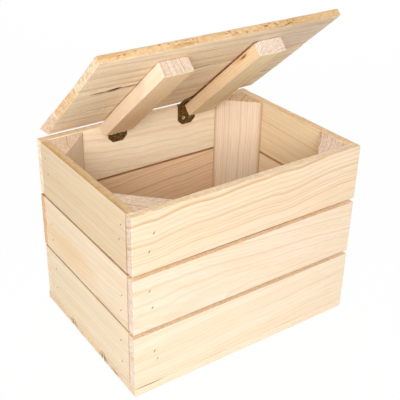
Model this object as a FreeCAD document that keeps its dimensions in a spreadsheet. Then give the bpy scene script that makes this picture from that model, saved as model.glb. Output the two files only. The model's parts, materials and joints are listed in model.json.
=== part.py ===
import FreeCAD, Part
import os
import re
import Sketcher

# A pine storage box with a hinged plank lid, standing open, in millimetres.
# The origin lies under the middle of the box: X to the right, Y to the rear, Z up.
# Planks are nailed to four three-sided corner posts and stand on a floor of planks.
# The lid is three planks on two battens, which turns on two butt hinges inside the rear wall.
# The lid's own frame has its origin on the hinge axis: -Y to the lid's front, Z out of its top.

# Driving sizes, one cell each.
SIZES = {
    "box_width": 350,
    "box_depth": 250,
    "front_board_height": 79,
    "front_board_gap": 5.5,
    "other_board_gap": 3,
    "wall_thickness": 12,
    "base_thickness": 12,
    "base_gap": 3,
    "edge_ease": 0.8,
    "post_leg": 53,
    "post_drop": 1,
    "lid_thickness": 10.5,
    "lid_board_gap": 1,
    "lid_rear_board_share": 0.26,
    "lid_middle_board_share": 0.36,
    "lid_rear_gap": 12.5,
    "lid_front_setback": 2,
    "lid_open_angle": 41.25,
    "batten_width": 43,
    "batten_height": 20,
    "batten_left_inset": 88,
    "batten_right_inset": 78.5,
    "batten_rear_gap": 3.2,
    "batten_front_setback": 30.5,
    "leaf_length": 30,
    "leaf_reach": 31,
    "leaf_thickness": 1.2,
    "leaf_clip": 7,
    "leaf_recess_clearance": 0.2,
    "left_hinge_shift": 8,
    "right_hinge_shift": 15.5,
    "knuckle_radius": 2.5,
    "knuckle_end_gap": 0.15,
    "knuckle_clearance": 0.4,
    "rim_clearance": 0.5,
    "pin_radius": 1.2,
    "pin_clearance": 0.05,
    "pin_tip": 0.6,
    "screw_head_radius": 2.8,
    "screw_head_depth": 1.6,
    "screw_shank_radius": 1.3,
    "screw_length": 9,
    "screw_point": 2,
    "screw_reach": 20.8,
    "screw_spacing": 11,
    "nail_head_radius": 1.5,
    "nail_head_thickness": 1.2,
    "nail_shank_radius": 0.8,
    "nail_point": 2,
    "nail_sink": 0.3,
    "wall_nail_length": 30,
    "lid_nail_length": 24,
    "long_wall_nail_inset": 28,
    "short_wall_nail_inset": 16,
    "fastener_clearance": 0.05,
    "cut_overrun": 1,
}

# Sizes worked out from the driving ones.
DERIVED = {
    "wall_height": "3 * front_board_height + 2 * front_board_gap",
    "box_height": "base_thickness + wall_height",
    "other_board_height": "(wall_height - 2 * other_board_gap) / 3",
    "side_length": "box_depth - 2 * wall_thickness",
    "base_board_width": "(box_depth - 2 * base_gap) / 3",
    "post_height": "wall_height - post_drop",
    "leaf_half": "leaf_thickness / 2",
    "axis_y": "box_depth / 2 - wall_thickness - leaf_half",
    "axis_z": "box_height + knuckle_radius + rim_clearance",
    "lid_depth": "box_depth / 2 + axis_y - lid_rear_gap - lid_front_setback",
    "lid_planking": "lid_depth - 2 * lid_board_gap",
    "lid_rear_board": "lid_planking * lid_rear_board_share",
    "lid_middle_board": "lid_planking * lid_middle_board_share",
    "lid_front_board": "lid_planking - lid_rear_board - lid_middle_board",
    "batten_length": "lid_rear_gap + lid_depth - batten_front_setback - batten_rear_gap",
    "recess_length": "leaf_length + 2 * leaf_recess_clearance",
    "recess_reach": "leaf_reach + leaf_recess_clearance",
    "recess_height": "leaf_thickness + leaf_recess_clearance + cut_overrun",
    "leaf_side": "leaf_reach - leaf_clip",
    "leaf_far_clip": "leaf_length - leaf_clip",
    "plate_start": "knuckle_radius + knuckle_clearance",
    "tab_start": "(knuckle_radius + pin_bore) / 2",
    "pin_bore": "pin_radius + pin_clearance",
    "pin_length": "leaf_length + 2 * pin_tip",
    "outer_knuckle": "leaf_length / 3",
    "last_knuckle": "leaf_length - outer_knuckle",
    "inner_start": "outer_knuckle + knuckle_end_gap",
    "inner_end": "last_knuckle - knuckle_end_gap",
    "inner_knuckle": "inner_end - inner_start",
}

LEVELS = ("lower", "middle", "upper")

# The walls, a quarter turn apart, with the names of each one's length, reach and nail inset.
WALLS = {
    "front": ("box_width", "box_depth", "long_wall_nail_inset"),
    "right": ("side_length", "box_width", "short_wall_nail_inset"),
    "back": ("box_width", "box_depth", "long_wall_nail_inset"),
    "left": ("side_length", "box_width", "short_wall_nail_inset"),
}

# The names of a wall's board height and gap: the front boards are narrower and stand further apart.
FRONT_BOARDS = ("front_board_height", "front_board_gap")
OTHER_BOARDS = ("other_board_height", "other_board_gap")

# Two nails at each end of a wall board, by level: share of the height, share of the inset.
LONG_WALL_NAIL_SHARES = {
    "lower": ((0.45, 1.2), (0.62, 1.05)),
    "middle": ((0.40, 0.96), (0.72, 0.82)),
    "upper": ((0.35, 0.83), (0.64, 1.05)),
}
SHORT_WALL_NAIL_SHARES = {
    "lower": ((0.29, 1.2), (0.70, 1.3)),
    "middle": ((0.25, 1.15), (0.55, 0.95)),
    "upper": ((0.48, 1.1), (0.75, 0.8)),
}
BASE_NAIL_SHARES = (0.3, 0.7)
LID_NAIL_SHARES = ((0.3, -0.22), (0.75, 0.22))

X_AXIS = FreeCAD.Vector(1, 0, 0)
Y_AXIS = FreeCAD.Vector(0, 1, 0)
Z_AXIS = FreeCAD.Vector(0, 0, 1)

doc = FreeCAD.newDocument("StorageBox")
sheet = doc.addObject("Spreadsheet::Sheet", "Sizes")
derived = doc.addObject("App::VarSet", "Derived")
pieces = []


def bound(formula):
    """A formula in plain names, with each name pointed at its cell or derived value."""
    def owner(match):
        name = match.group(0)
        return f"Sizes.{name}" if name in SIZES else f"Derived.{name}"
    return re.sub(r"[a-z][a-z_]+", owner, formula)


def value(name):
    """The number that a named size holds."""
    return sheet.get(name) if name in SIZES else getattr(derived, name)


def bind(feature, **formulas):
    """Bind a feature's properties to formulas in the named sizes."""
    for name, formula in formulas.items():
        feature.setExpression(name, bound(formula))


def move(x=0, y=0, z=0):
    return FreeCAD.Placement(FreeCAD.Vector(x, y, z), FreeCAD.Rotation())


def turn(axis, degrees):
    return FreeCAD.Placement(FreeCAD.Vector(), FreeCAD.Rotation(axis, degrees))


def fill_sheet():
    for row, (alias, number) in enumerate(SIZES.items(), start=1):
        sheet.set(f"A{row}", alias)
        sheet.set(f"B{row}", str(number))
        sheet.setAlias(f"B{row}", alias)
    doc.recompute()
    for name in DERIVED:
        derived.addProperty("App::PropertyFloat", name)
    for name, formula in DERIVED.items():
        derived.setExpression(name, bound(formula))
    doc.recompute()


def keep(label, feature):
    """Name a finished sub-part and list it for writing."""
    feature.Label = label
    pieces.append(feature)
    return feature


def sketch_on(body, role, name, lift="0"):
    """A sketch on one of the body's own planes, lifted along the plane's normal."""
    sketch = body.newObject("Sketcher::SketchObject", name)
    plane = next(item for item in body.Origin.OriginFeatures if item.Role == role)
    sketch.AttachmentSupport = (plane, "")
    sketch.MapMode = "FlatFace"
    sketch.setExpression("AttachmentOffset.Base.z", bound(lift))
    return sketch


def outline(sketch, corners):
    """A closed outline through corners given as pairs of size names, or 0 on an axis."""
    spots = [FreeCAD.Vector(*(value(name) if name else 0 for name in corner), 0) for corner in corners]
    count = len(spots)
    for index in range(count):
        sketch.addGeometry(Part.LineSegment(spots[index], spots[(index + 1) % count]))
    for index in range(count):
        sketch.addConstraint(Sketcher.Constraint("Coincident", index, 2, (index + 1) % count, 1))
    for index, corner in enumerate(corners):
        for kind, name, axis in zip(("DistanceX", "DistanceY"), corner, (-2, -1)):
            if name:
                rule = sketch.addConstraint(Sketcher.Constraint(kind, -1, 1, index, 1, value(name)))
                sketch.setExpression(f"Constraints[{rule}]", bound(name))
            else:
                sketch.addConstraint(Sketcher.Constraint("PointOnObject", index, 1, axis))


def ring(sketch, radius_names):
    """Circles about the sketch's origin, one for each named radius."""
    for index, name in enumerate(radius_names):
        sketch.addGeometry(Part.Circle(FreeCAD.Vector(), Z_AXIS, value(name)))
        sketch.addConstraint(Sketcher.Constraint("Coincident", index, 3, -1, 1))
        rule = sketch.addConstraint(Sketcher.Constraint("Radius", index, value(name)))
        sketch.setExpression(f"Constraints[{rule}]", bound(name))


def padded(body, sketch, length, name):
    pad = body.newObject("PartDesign::Pad", name)
    pad.Profile = sketch
    bind(pad, Length=length)
    return pad


def plank(label, corners, thickness, place):
    """A sawn piece: its outline padded to its thickness, with every arris eased."""
    body = doc.addObject("PartDesign::Body", label + "_sawn")
    face = sketch_on(body, "XY_Plane", label + "_face")
    outline(face, corners)
    sawn = padded(body, face, thickness, label + "_pad")
    doc.recompute()
    eased = body.newObject("PartDesign::Chamfer", label + "_eased")
    eased.Base = (sawn, ["Face1"])
    eased.UseAllEdges = True
    bind(eased, Size="edge_ease")
    body.Placement = place
    return body


def rectangle(length, width):
    return ((0, 0), (length, 0), (length, width), (0, width))


def cut(label, base, tool):
    result = doc.addObject("Part::Cut", label)
    result.Base = base
    result.Tool = tool
    return result


def wall_frame(wall):
    """A wall's frame on its inner face at floor level: X along it, Y up, Z outwards."""
    length, reach, inset = WALLS[wall]
    inner = value(reach) / 2 - value("wall_thickness")
    quarters = list(WALLS).index(wall)
    return turn(Z_AXIS, 90 * quarters) * move(y=-inner) * turn(X_AXIS, 90)


def lid_frame():
    """The open lid's frame, with its origin on the hinge axis at the box's middle."""
    return move(y=value("axis_y"), z=value("axis_z")) * turn(X_AXIS, -value("lid_open_angle"))


def board_names(wall):
    return FRONT_BOARDS if wall == "front" else OTHER_BOARDS


def board_foot(wall, level):
    """Height of a wall board's lower edge."""
    height, gap = board_names(wall)
    return value("base_thickness") + LEVELS.index(level) * (value(height) + value(gap))


def batten_starts():
    """Each batten's left edge."""
    half = value("box_width") / 2
    return {
        "left": value("batten_left_inset") - half,
        "right": half - value("batten_right_inset") - value("batten_width"),
    }


def hinge_middles():
    """Each hinge's middle: shifted from its batten's middle towards the box's middle."""
    starts = batten_starts()
    half = value("batten_width") / 2
    return {
        "left": starts["left"] + half + value("left_hinge_shift"),
        "right": starts["right"] + half - value("right_hinge_shift"),
    }


def lid_board_spans():
    """Distance of each lid board's rear and front edges from the hinge axis."""
    spans = {}
    start = value("lid_rear_gap")
    for name in ("rear", "middle", "front"):
        end = start + value(f"lid_{name}_board")
        spans[name] = (start, end)
        start = end + value("lid_board_gap")
    return spans


def wall_nail_places(wall):
    """Places of a wall's nails, two at each end of each board, pointing inwards."""
    length, reach, inset = WALLS[wall]
    height, gap = board_names(wall)
    table = LONG_WALL_NAIL_SHARES if length == "box_width" else SHORT_WALL_NAIL_SHARES
    places = []
    for level in LEVELS:
        for height_share, inset_share in table[level]:
            up = board_foot(wall, level) + height_share * value(height)
            along = value(length) / 2 - inset_share * value(inset)
            for side in (-1, 1):
                places.append(wall_frame(wall) * move(side * along, up, value("wall_thickness")))
    return places


def base_nail_places():
    """Places of the floor's nails, driven up through its boards into the side walls."""
    across = (value("box_width") - value("wall_thickness")) / 2
    step = value("base_board_width") + value("base_gap")
    places = []
    for index in range(len(LEVELS)):
        for share in BASE_NAIL_SHARES:
            y = index * step + share * value("base_board_width") - value("box_depth") / 2
            for side in (-1, 1):
                places.append(move(side * across, y) * turn(X_AXIS, 180))
    return places


def lid_nail_places():
    """Places of the lid's nails, two through each board into each batten, clear of the leaves."""
    top = value("leaf_half") + value("lid_thickness")
    batten_end = value("batten_rear_gap") + value("batten_length")
    places = []
    for start in batten_starts().values():
        middle = start + value("batten_width") / 2
        for near, far in lid_board_spans().values():
            near = max(near, value("leaf_reach"))
            far = min(far, batten_end)
            for along_share, across_share in LID_NAIL_SHARES:
                along = near + along_share * (far - near)
                across = middle + across_share * value("batten_width")
                places.append(lid_frame() * move(across, -along, top))
    return places


def leaf_place(leaf, middle):
    """A hinge leaf's frame: X along its pin, Y from the pin to its free edge, -Z its seen face."""
    half = value("leaf_length") / 2
    if leaf == "wall":
        return move(middle - half, value("axis_y"), value("axis_z")) * turn(X_AXIS, -90)
    return lid_frame() * move(middle + half) * turn(Z_AXIS, 180)


def screw_places(leaf):
    """Places of the screws of both hinges' wall or lid leaves, two in each."""
    places = []
    for middle in hinge_middles().values():
        for side in (-1, 1):
            along = (value("leaf_length") + side * value("screw_spacing")) / 2
            spot = move(along, value("screw_reach"), -value("leaf_half"))
            places.append(leaf_place(leaf, middle) * spot * turn(X_AXIS, 180))
    return places


def spun(profile):
    """A solid of revolution about Z from pairs of radius and height."""
    points = [FreeCAD.Vector(radius, 0, height) for radius, height in profile]
    face = Part.Face(Part.makePolygon(points + points[:1]))
    return face.revolve(FreeCAD.Vector(), Z_AXIS, 360)


def nail(length, grow=0, rise=0):
    """A nail pointing down from a face at height zero, its head sunk; grown, it is its own hole."""
    head = value("nail_head_radius") + grow
    shank = value("nail_shank_radius") + grow
    top = -value("nail_sink")
    neck = top - value("nail_head_thickness") - grow
    tip = top - length - grow
    shoulder = tip + value("nail_point")
    return spun(((0, top + rise), (head, top + rise), (head, neck), (shank, neck), (shank, shoulder), (0, tip)))


def screw(grow=0, rise=0):
    """A countersunk screw, its head level with a face at height zero; grown, it is its own hole."""
    head = value("screw_head_radius") + grow
    shank = value("screw_shank_radius") + grow
    neck = -value("screw_head_depth")
    tip = -value("screw_length") - grow
    shoulder = tip + value("screw_point")
    return spun(((0, rise), (head, rise), (head, 0), (shank, neck), (shank, shoulder), (0, tip)))


def grouped(name, solid_places):
    """One object that holds a separate copy of a solid at each place."""
    solids = []
    for solid, place in solid_places:
        copy = solid.copy()
        copy.Placement = place
        solids.append(copy)
    group = doc.addObject("Part::Feature", name)
    group.Shape = Part.makeCompound(solids)
    return group


def fasteners():
    """The nail and screw groups, and the two sets of holes that they need."""
    grow = value("fastener_clearance")
    rise = value("nail_sink") + value("cut_overrun")
    wall_nail = nail(value("wall_nail_length"))
    wall_nail_hole = nail(value("wall_nail_length"), grow, rise)
    box_holes = []
    for wall in WALLS:
        places = wall_nail_places(wall)
        keep(f"{wall}_wall_nails", grouped(f"{wall}_wall_nails", [(wall_nail, place) for place in places]))
        box_holes += [(wall_nail_hole, place) for place in places]
    places = base_nail_places()
    keep("base_nails", grouped("base_nails", [(wall_nail, place) for place in places]))
    box_holes += [(wall_nail_hole, place) for place in places]
    screw_hole = screw(grow, value("cut_overrun"))
    places = screw_places("wall")
    keep("hinge_wall_screws", grouped("hinge_wall_screws", [(screw(), place) for place in places]))
    box_holes += [(screw_hole, place) for place in places]
    places = lid_nail_places()
    lid_nail = nail(value("lid_nail_length"))
    lid_nail_hole = nail(value("lid_nail_length"), grow, rise)
    keep("lid_nails", grouped("lid_nails", [(lid_nail, place) for place in places]))
    lid_holes = [(lid_nail_hole, place) for place in places]
    places = screw_places("lid")
    keep("hinge_lid_screws", grouped("hinge_lid_screws", [(screw(), place) for place in places]))
    lid_holes += [(screw_hole, place) for place in places]
    return grouped("box_holes", box_holes), grouped("lid_holes", lid_holes)


def wall_boards(holes):
    for wall, (length, reach, inset) in WALLS.items():
        height, gap = board_names(wall)
        for level in LEVELS:
            label = f"{wall}_board_{level}"
            place = wall_frame(wall) * move(-value(length) / 2, board_foot(wall, level))
            body = plank(label, rectangle(length, height), "wall_thickness", place)
            keep(label, cut(label, body, holes))


def base_boards(holes):
    step = value("base_board_width") + value("base_gap")
    for index, name in enumerate(("front", "middle", "rear")):
        label = f"base_board_{name}"
        place = move(-value("box_width") / 2, index * step - value("box_depth") / 2)
        body = plank(label, rectangle("box_width", "base_board_width"), "base_thickness", place)
        keep(label, cut(label, body, holes))


def corner_posts(holes):
    """Three-sided posts: two faces against the walls, the broad one towards the inside."""
    half_x = value("box_width") / 2 - value("wall_thickness")
    half_y = value("box_depth") / 2 - value("wall_thickness")
    corners = {
        "front_left": (-half_x, -half_y),
        "front_right": (half_x, -half_y),
        "back_right": (half_x, half_y),
        "back_left": (-half_x, half_y),
    }
    triangle = ((0, 0), ("post_leg", 0), (0, "post_leg"))
    for quarters, (name, (x, y)) in enumerate(corners.items()):
        label = f"corner_post_{name}"
        place = move(x, y, value("base_thickness")) * turn(Z_AXIS, 90 * quarters)
        body = plank(label, triangle, "post_height", place)
        keep(label, cut(label, body, holes))


def lid_boards(holes):
    for name, (near, far) in lid_board_spans().items():
        label = f"lid_board_{name}"
        place = lid_frame() * move(-value("box_width") / 2, -far, value("leaf_half"))
        body = plank(label, rectangle("box_width", f"lid_{name}_board"), "lid_thickness", place)
        keep(label, cut(label, body, holes))


def lid_battens(holes):
    """Battens across the lid's underside, each with a shallow recess over its hinge leaf."""
    for side, start in batten_starts().items():
        label = f"lid_batten_{side}"
        rear = value("batten_rear_gap") + value("batten_length")
        place = lid_frame() * move(start, -rear, value("leaf_half") - value("batten_height"))
        body = plank(label, rectangle("batten_width", "batten_length"), "batten_height", place)
        recess = doc.addObject("Part::Box", label + "_recess")
        bind(recess, Length="recess_length", Width="recess_reach", Height="recess_height")
        corner = hinge_middles()[side] - value("recess_length") / 2
        depth = value("leaf_half") + value("leaf_recess_clearance")
        recess.Placement = lid_frame() * move(corner, -value("recess_reach"), -depth)
        keep(label, cut(label, cut(label + "_housed", body, recess), holes))


def leaf_body(label, corners, knuckles, place):
    """A hinge leaf: a flat plate with clipped free corners, rolled into knuckles about its pin."""
    body = doc.addObject("PartDesign::Body", label + "_pressed")
    plate = sketch_on(body, "XY_Plane", label + "_plate", "-leaf_half")
    outline(plate, corners)
    padded(body, plate, "leaf_thickness", label + "_sheet")
    for index, (start, length) in enumerate(knuckles):
        circle = sketch_on(body, "YZ_Plane", f"{label}_circle_{index}", start)
        ring(circle, ("knuckle_radius", "pin_bore"))
        padded(body, circle, length, f"{label}_knuckle_{index}")
    body.Placement = place
    return body


def clipped_edge():
    """The leaf's plate from its far side, round the clipped free edge, to its near side."""
    return (
        ("leaf_length", "plate_start"), ("leaf_length", "leaf_side"), ("leaf_far_clip", "leaf_reach"),
        ("leaf_clip", "leaf_reach"), (0, "leaf_side"),
    )


def hinges(box_holes, lid_holes):
    wall_corners = (
        (0, "tab_start"), ("outer_knuckle", "tab_start"), ("outer_knuckle", "plate_start"),
        ("last_knuckle", "plate_start"), ("last_knuckle", "tab_start"), ("leaf_length", "tab_start"),
    ) + clipped_edge()[1:]
    lid_corners = (
        (0, "plate_start"), ("inner_start", "plate_start"), ("inner_start", "tab_start"),
        ("inner_end", "tab_start"), ("inner_end", "plate_start"),
    ) + clipped_edge()
    wall_knuckles = (("0", "outer_knuckle"), ("last_knuckle", "outer_knuckle"))
    lid_knuckles = (("inner_start", "inner_knuckle"),)
    for side, middle in hinge_middles().items():
        label = f"hinge_wall_leaf_{side}"
        body = leaf_body(label, wall_corners, wall_knuckles, leaf_place("wall", middle))
        keep(label, cut(label, body, box_holes))
        label = f"hinge_lid_leaf_{side}"
        body = leaf_body(label, lid_corners, lid_knuckles, leaf_place("lid", middle))
        keep(label, cut(label, body, lid_holes))
        pin = keep(f"hinge_pin_{side}", doc.addObject("Part::Cylinder", f"hinge_pin_{side}"))
        bind(pin, Radius="pin_radius", Height="pin_length")
        start = middle - value("pin_length") / 2
        pin.Placement = move(start, value("axis_y"), value("axis_z")) * turn(Y_AXIS, 90)


def write_parts():
    """Check every feature and sub-part, then write one file for each sub-part."""
    doc.recompute()
    for feature in doc.Objects:
        if "Invalid" in feature.State or "Error" in feature.State:
            raise RuntimeError(f"{feature.Label} failed: {feature.State}")
    for piece in pieces:
        if piece.Shape.isNull() or not piece.Shape.isValid():
            raise RuntimeError(f"{piece.Label} has no valid shape")
    os.makedirs("parts", exist_ok=True)
    for piece in pieces:
        piece.Shape.exportStep(f"parts/{piece.Label}.step")
        print(f"{piece.Label}: {len(piece.Shape.Solids)} solids, {piece.Shape.Volume:.0f} cubic mm")


fill_sheet()
box_holes, lid_holes = fasteners()
wall_boards(box_holes)
base_boards(box_holes)
corner_posts(box_holes)
lid_boards(lid_holes)
lid_battens(lid_holes)
hinges(box_holes, lid_holes)
write_parts()
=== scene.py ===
import json
import math
import bpy
import numpy as np
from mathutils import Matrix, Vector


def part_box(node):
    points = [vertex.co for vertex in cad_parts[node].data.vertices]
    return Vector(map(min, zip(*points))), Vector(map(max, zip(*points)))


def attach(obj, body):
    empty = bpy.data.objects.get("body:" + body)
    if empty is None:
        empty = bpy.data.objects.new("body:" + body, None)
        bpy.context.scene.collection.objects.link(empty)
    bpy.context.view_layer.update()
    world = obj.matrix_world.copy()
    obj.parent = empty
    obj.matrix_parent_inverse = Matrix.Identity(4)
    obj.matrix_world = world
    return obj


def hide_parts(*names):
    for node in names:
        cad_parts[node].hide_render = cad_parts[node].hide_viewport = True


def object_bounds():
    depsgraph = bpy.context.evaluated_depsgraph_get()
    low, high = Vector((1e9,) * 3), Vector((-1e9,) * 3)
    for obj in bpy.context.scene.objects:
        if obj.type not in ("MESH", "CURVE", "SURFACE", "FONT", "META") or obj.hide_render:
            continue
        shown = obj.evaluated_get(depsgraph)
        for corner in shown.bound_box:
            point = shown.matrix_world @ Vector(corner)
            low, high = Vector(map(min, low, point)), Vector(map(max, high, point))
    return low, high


# The looks of a pine plank box with a hinged lid. Every plank, post and batten is remade as a sawn
# piece with soft arrises, nail dents and growth rings of its own, and every screw with its cross
# slot. Hinges, pins and nails keep their solids and get their metal finishes.

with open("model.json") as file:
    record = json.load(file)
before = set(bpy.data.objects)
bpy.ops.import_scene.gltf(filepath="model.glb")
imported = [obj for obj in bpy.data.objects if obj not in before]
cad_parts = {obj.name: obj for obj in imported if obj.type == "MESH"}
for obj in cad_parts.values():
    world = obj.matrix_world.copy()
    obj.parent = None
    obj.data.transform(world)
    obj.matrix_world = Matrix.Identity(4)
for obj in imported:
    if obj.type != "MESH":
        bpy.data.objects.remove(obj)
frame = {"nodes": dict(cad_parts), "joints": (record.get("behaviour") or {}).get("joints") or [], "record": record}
cad_box = [list(corner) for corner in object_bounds()]

MM = 0.001
LEVELS = ("lower", "middle", "upper")
SIDES = ("left", "right")

# The lid's frame: its origin on the hinge axis, -y to the lid's front, z out of its top.
HINGE = np.array(frame["joints"][0]["pos_m"])
LID_OPEN = math.radians(41.25)
LID_AXES = np.array([
    [1, 0, 0],
    [0, math.cos(LID_OPEN), math.sin(LID_OPEN)],
    [0, -math.sin(LID_OPEN), math.cos(LID_OPEN)],
])

# The grids: steps in an arc and room beside it, steps on a plain and on a fine piece, the rings of an
# end face as shares of its outline, and the lines round a flaw as shares of its half size. All lines
# stand at whole steps of the gap, so that close ones become one.
ARC_STEPS = 4
GUARD = 0.4 * MM
FACE_STEP = 6 * MM
FINE_STEP = 1.5 * MM
CAP_SHARES = (0.3, 0.65, 0.96)
FLAW_LINES = np.linspace(-1.1, 1.1, 9)
LINE_GAP = 0.25 * MM
# How fast a point's share of a face falls as the arris turns away, and the share that counts as flat.
FACE_FALL = 4
FLAT = 0.99

# Arrises: radius, how far their wear fades into the faces and how deep it goes; then its wobble: the
# wavelengths in metres, the wear that is everywhere, and how far the wobble moves on in one round.
ARRIS = 0.8 * MM
ARRIS_FADE = 2.0 * MM
ARRIS_WEAR = 0.25 * MM
WEAR_LENGTHS = (0.11, 0.047, 0.019)
WEAR_LEAST = 1.6
WEAR_ROUND = 0.9
# Pieces with an arris of their own, most of them left crisp.
OWN_ARRIS = {
    "lid_board_front": 1.0 * MM,
    "lid_board_rear": 0.4 * MM,
    "back_board_upper": 0.4 * MM,
    "front_board_lower": 0.4 * MM,
    "base_board_front": 0.3 * MM,
}

# Dents that driven brads leave: half width and length, depth, slant, the grid lines round one, and how
# much darker its bottom is.
DENT_HALF = (0.9 * MM, 3.0 * MM)
DENT_DEPTH = 1.3 * MM
DENT_SLANT = math.radians(38)
DENT_LINES = np.linspace(-3.1, 3.1, 15) * MM
DENT_SHADE = 0.35

# Nail places on the wall boards: share of the board's height, distance from the board's end in mm. The
# floor's are shares of a board's width, all at one distance from its ends. The lid's are shares along
# the stretch of batten under a board, and across the batten from its middle.
LONG_WALL_NAILS = {
    "lower": ((0.45, 33.6), (0.62, 29.4)),
    "middle": ((0.40, 26.9), (0.72, 23.0)),
    "upper": ((0.35, 23.2), (0.64, 29.4)),
}
SHORT_WALL_NAILS = {
    "lower": ((0.29, 19.2), (0.70, 20.8)),
    "middle": ((0.25, 18.4), (0.55, 15.2)),
    "upper": ((0.48, 17.6), (0.75, 12.8)),
}
BASE_NAIL_SHARES = (0.3, 0.7)
BASE_NAIL_END = 6.0
LID_NAIL_SHARES = ((0.3, -0.22), (0.75, 0.22))
# How deep the brads went at a board's start and at its far end.
FRONT_DENTS = (1.0, 0.15)
OTHER_DENTS = (0.7, 0.7)

# Where each board was cut from the tree, in mm: the pith's distance across and through the board from
# its middle, how far it drifts that way over a metre of length, the years' width; then how bold the
# rings are at the lower and upper edge, and the tone.
CUTS = {
    "front_board_upper": (150, -60, 40, 10, 6.4, 0.45, 1.5, "#ffffff"),
    "front_board_middle": (-50, -60, -150, 80, 4.4, 0.5, 0.7, "#f6f3f6"),
    "front_board_lower": (-150, -60, 30, 0, 4.2, 0.6, 0.45, "#f7f7fa"),
    "left_board_upper": (120, -50, 20, 10, 3.2, 1.0, 0.5, "#e8e2d9"),
    "left_board_middle": (-60, -70, 40, 10, 3.8, 0.5, 0.45, "#f3f1f0"),
    "left_board_lower": (-95, -45, 25, 0, 3.0, 1.0, 0.5, "#f3f4f3"),
    "back_board_upper": (-150, 60, 60, -20, 8.5, 0.7, 0.6, "#ffffff"),
    "back_board_middle": (-70, 50, -60, 20, 4.6, 1.3, 1.2, "#fceee4"),
    "back_board_lower": (60, -40, 40, 0, 3.6, 0.8, 0.8, "#fdf7f0"),
    "right_board_upper": (-120, 40, 50, 10, 2.4, 0.9, 1.0, "#fffcf2"),
    "right_board_middle": (-80, 50, 70, 0, 4.0, 0.4, 0.4, "#fffcf6"),
    "right_board_lower": (25, -36, -80, 20, 4.4, 0.8, 0.9, "#fdf8f0"),
    "base_board_front": (15, -40, 60, 10, 4.0, 0.8, 0.4, "#f9f7f9"),
    "base_board_middle": (-60, -40, -40, 0, 3.6, 0.8, 0.9, "#fdf8f0"),
    "base_board_rear": (30, -34, 80, 20, 4.2, 0.9, 0.8, "#fdf7ee"),
    "lid_board_rear": (-40, 40, 60, 20, 3.6, 0.6, 0.6, "#ffffff"),
    "lid_board_middle": (70, -36, -90, 20, 3.4, 1.0, 0.8, "#ffffff"),
    "lid_board_front": (-90, -40, 50, 30, 3.8, 0.8, 1.0, "#fbf6f2"),
    "lid_batten_left": (95, 8, 10, 0, 3.6, 0.8, 1.0, "#fffdfa"),
    "lid_batten_right": (16, -36, 12, 0, 2.8, 0.9, 0.9, "#ffffff"),
    "corner_post_front_left": (40, 45, 8, 0, 2.6, 0.8, 0.8, "#fff8fa"),
    "corner_post_front_right": (45, 30, 8, 0, 2.6, 0.8, 0.8, "#fff8fa"),
    "corner_post_back_right": (206, 16, 6, 0, 4.6, 0.8, 0.8, "#f7f5f3"),
    "corner_post_back_left": (60, 20, 6, 0, 2.6, 0.35, 0.35, "#ffffff"),
}
# The years' width in mm that the finish draws, to which each piece's place in the tree is stretched, and
# how far apart along the tree the pieces are cut, in metres.
RING_WIDTH = 4.0
TREE_STEP = 0.37

# A plank's faces, as the sides of its section, and its two ends. A lid board's lower edge is the front
# one; a batten's lower edge is its left face and its inner face the lid's underside.
INNER, UPPER, OUTER, LOWER = range(4)
START, FAR = -2, -1

# Faces and ends that differ in tone from their piece.
FACE_TONES = {
    "front_board_upper": {UPPER: "#fff9f1", OUTER: "#f2ece8", START: "#e7e2e7", FAR: "#f0e0d7"},
    "front_board_middle": {UPPER: "#fff6e8", START: "#f6f4fc"},
    "front_board_lower": {UPPER: "#fff6e8", START: "#f9f7ff"},
    "left_board_upper": {UPPER: "#fdf2e2"},
    # The top edges of the middle and lower side and back boards are darker: painted shade in the joints between
    # the boards, with some dust.
    "left_board_middle": {UPPER: "#dcc6a8"},
    "left_board_lower": {UPPER: "#e8d6bc"},
    "right_board_middle": {UPPER: "#d8b48c"},
    "right_board_lower": {UPPER: "#b08a62"},
    "back_board_lower": {UPPER: "#b08a62"},
    "right_board_upper": {UPPER: "#f8e8d8"},
    "back_board_upper": {UPPER: "#f6e2cc"},
    "back_board_middle": {UPPER: "#c0a488", FAR: "#f0e2d0"},
    "lid_batten_left": {INNER: "#fff6e2", FAR: "#e2e6ef"},
    "lid_batten_right": {INNER: "#ffffec", LOWER: "#f8eed9", FAR: "#eef2ff"},
    "corner_post_back_right": {FAR: "#f4e0c8"},
    "corner_post_back_left": {FAR: "#f0e9e5"},
    "corner_post_front_left": {FAR: "#f0f4f3"},
    "lid_board_front": {LOWER: "#e8d6bc"},
    "lid_board_middle": {START: "#eedac4"},
    "lid_board_rear": {START: "#ebe0e0"},
    "base_board_front": {START: "#f3f1ef"},
    "base_board_middle": {START: "#f0efed"},
    "base_board_rear": {START: "#f0efed"},
}
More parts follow.
